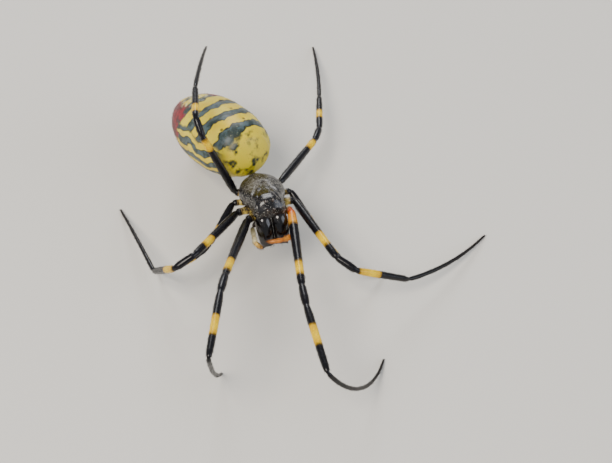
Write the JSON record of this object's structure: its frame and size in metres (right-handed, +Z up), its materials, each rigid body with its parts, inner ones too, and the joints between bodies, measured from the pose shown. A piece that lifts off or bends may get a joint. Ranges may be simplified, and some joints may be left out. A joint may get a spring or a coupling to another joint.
{
  "type": "golden orb weaver spider, life-size still model",
  "caption": "Golden orb weaver spider, a life-size still figure on its long banded legs, with a patterned egg-shaped abdomen.",
  "frame": {"origin": "middle of the bounding box's base, on the floor under the body", "axes": "+Z up; the head faces -Y; the spider's left side is at +X"},
  "size_m": [0.0418, 0.0564, 0.0175],
  "materials": {
    "leg_shell": "glossy black cuticle with yellow bands and fine dark bristles",
    "carapace_shell": "dark cuticle under short silvery hair",
    "jaw_shell": "polished black cuticle",
    "palp_shell": "orange and cream cuticle with fine hairs",
    "eye_lens": "smooth wet-looking lens",
    "abdomen_skin": "soft satin skin, yellow with slate-green bands and red patches",
    "spinneret_skin": "dark reddish skin"
  },
  "bodies": {
    "root": {"leg1_right_coxa": "leg_shell", "leg1_right_femur": "leg_shell", "leg1_right_tibia": "leg_shell", "leg1_right_metatarsus": "leg_shell", "leg1_left_coxa": "leg_shell", "leg1_left_femur": "leg_shell", "leg1_left_tibia": "leg_shell", "leg1_left_metatarsus": "leg_shell", "leg2_right_coxa": "leg_shell", "leg2_right_femur": "leg_shell", "leg2_right_tibia": "leg_shell", "leg2_right_metatarsus": "leg_shell", "leg2_left_coxa": "leg_shell", "leg2_left_femur": "leg_shell", "leg2_left_tibia": "leg_shell", "leg2_left_metatarsus": "leg_shell", "leg3_right_coxa": "leg_shell", "leg3_right_femur": "leg_shell", "leg3_right_tibia": "leg_shell", "leg3_right_metatarsus": "leg_shell", "leg3_left_coxa": "leg_shell", "leg3_left_femur": "leg_shell", "leg3_left_tibia": "leg_shell", "leg3_left_metatarsus": "leg_shell", "leg4_right_coxa": "leg_shell", "leg4_right_femur": "leg_shell", "leg4_right_tibia": "leg_shell", "leg4_right_metatarsus": "leg_shell", "leg4_left_coxa": "leg_shell", "leg4_left_femur": "leg_shell", "leg4_left_tibia": "leg_shell", "leg4_left_metatarsus": "leg_shell", "carapace": "carapace_shell", "sternum": "carapace_shell", "pedicel": "carapace_shell", "mouthparts": "jaw_shell", "jaw_left": "jaw_shell", "jaw_right": "jaw_shell", "fang_left": "jaw_shell", "fang_right": "jaw_shell", "palp_left_femur": "palp_shell", "palp_left_end": "palp_shell", "palp_right_femur": "palp_shell", "palp_right_end": "palp_shell", "eye_front_middle_left": "eye_lens", "eye_front_middle_right": "eye_lens", "eye_rear_middle_left": "eye_lens", "eye_rear_middle_right": "eye_lens", "eye_front_side_left": "eye_lens", "eye_front_side_right": "eye_lens", "eye_rear_side_left": "eye_lens", "eye_rear_side_right": "eye_lens", "abdomen": "abdomen_skin", "spinnerets": "spinneret_skin"}
  },
  "joints": []
}
